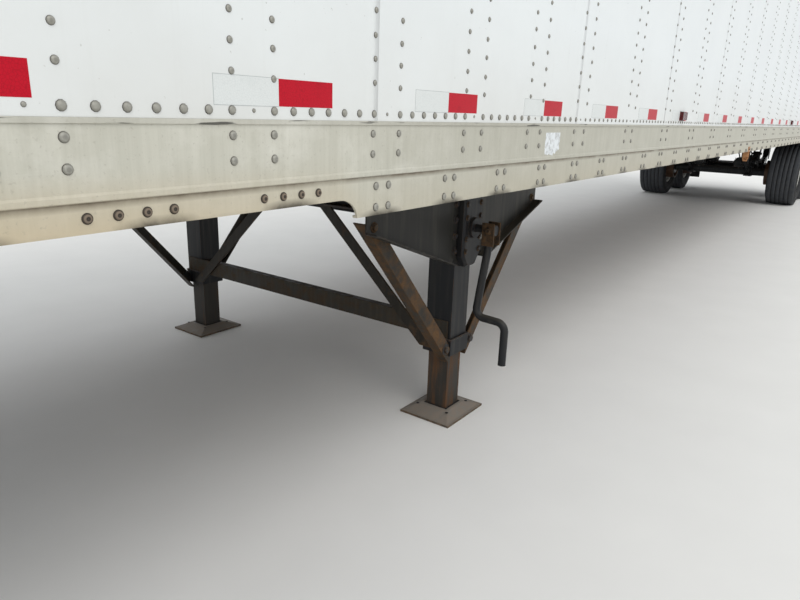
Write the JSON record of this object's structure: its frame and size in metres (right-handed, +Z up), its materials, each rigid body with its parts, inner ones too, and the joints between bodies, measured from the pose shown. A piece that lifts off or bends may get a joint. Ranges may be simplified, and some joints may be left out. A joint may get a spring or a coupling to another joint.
{
  "type": "semi trailer",
  "caption": "Long sheet-and-post van trailer with swing rear doors, a sliding tandem on wide single tyres, and crank-down landing legs with shoes.",
  "frame": {"origin": "on the ground under the middle of the trailer's box, half way along and half way across", "axes": "-X to the nose, +X to the rear doors, -Y to the left side that carries the crank, +Z up"},
  "size_m": [16.267, 2.627, 4.0096],
  "materials": {
    "white_paint": "aged gloss",
    "mill_aluminium": "mill finish, weathered",
    "roof_aluminium": "mill finish",
    "galvanised": "galvanised",
    "black_paint": "satin, chipped",
    "rusty_steel": "rusted",
    "frame_paint": "satin, dusty",
    "bright_steel": "worn",
    "hardwood": "laminated, worn",
    "tyre_rubber": "dusty",
    "flap_rubber": "matt",
    "wheel_paint": "white enamel, dusty",
    "red_lens": "moulded lens",
    "amber_lens": "moulded lens"
  },
  "bodies": {
    "trailer": {"front_wall": "white_paint", "left_wall": "white_paint", "right_wall": "white_paint", "left_bottom_rail": "mill_aluminium", "right_bottom_rail": "mill_aluminium", "left_top_rail": "mill_aluminium", "right_top_rail": "mill_aluminium", "nose_top_rail": "mill_aluminium", "nose_bottom_rail": "mill_aluminium", "floor_deck": "hardwood", "roof_sheet": "roof_aluminium", "roof_bows": "galvanised", "cross_members": "frame_paint", "upper_coupler": "frame_paint", "king_pin": "bright_steel", "nose_connectors": "bright_steel", "rear_frame": "galvanised", "rear_lamps": "red_lens", "side_lamps": "amber_lens", "dock_bumpers": "flap_rubber", "impact_guard": "galvanised", "left_leg_housing": "black_paint", "right_leg_housing": "black_paint", "inner_legs": "rusty_steel", "leg_shoes": "rusty_steel", "leg_brackets": "black_paint", "leg_braces": "rusty_steel", "leg_cross_brace": "rusty_steel", "leg_cross_shaft": "black_paint", "leg_crank": "black_paint", "front_axle": "frame_paint", "rear_axle": "frame_paint", "slider_rails": "frame_paint", "slider_frame": "frame_paint", "leaf_springs": "frame_paint", "torque_arms": "frame_paint", "brake_chambers": "frame_paint", "mud_flaps": "flap_rubber", "flap_brackets": "frame_paint", "air_tank": "frame_paint"},
    "front_left_wheels": {"front_left_tyres": "tyre_rubber", "front_left_wheel": "wheel_paint"},
    "front_right_wheels": {"front_right_tyres": "tyre_rubber", "front_right_wheel": "wheel_paint"},
    "rear_left_wheels": {"rear_left_tyres": "tyre_rubber", "rear_left_wheel": "wheel_paint"},
    "rear_right_wheels": {"rear_right_tyres": "tyre_rubber", "rear_right_wheel": "wheel_paint"},
    "left_rear_door": {"left_door": "white_paint", "left_lock_gear": "bright_steel"},
    "right_rear_door": {"right_door": "white_paint", "right_lock_gear": "bright_steel"}
  },
  "joints": [
    {"name": "front_left_roll", "type": "hinge", "parent": "trailer", "child": "front_left_wheels", "pos_m": [5.944, -0.9842, 0.505], "axis": [0, 1, 0], "continuous": true},
    {"name": "front_right_roll", "type": "hinge", "parent": "trailer", "child": "front_right_wheels", "pos_m": [5.944, 0.9842, 0.505], "axis": [0, 1, 0], "continuous": true},
    {"name": "rear_left_roll", "type": "hinge", "parent": "trailer", "child": "rear_left_wheels", "pos_m": [7.189, -0.9842, 0.505], "axis": [0, 1, 0], "continuous": true},
    {"name": "rear_right_roll", "type": "hinge", "parent": "trailer", "child": "rear_right_wheels", "pos_m": [7.189, 0.9842, 0.505], "axis": [0, 1, 0], "continuous": true},
    {"name": "left_door_swing", "type": "hinge", "parent": "trailer", "child": "left_rear_door", "pos_m": [8.097, -1.2935, 1.2016], "axis": [0, 0, -1], "range_deg": [0, 260]},
    {"name": "right_door_swing", "type": "hinge", "parent": "trailer", "child": "right_rear_door", "pos_m": [8.097, 1.2935, 1.2016], "axis": [0, 0, 1], "range_deg": [0, 260]}
  ]
}
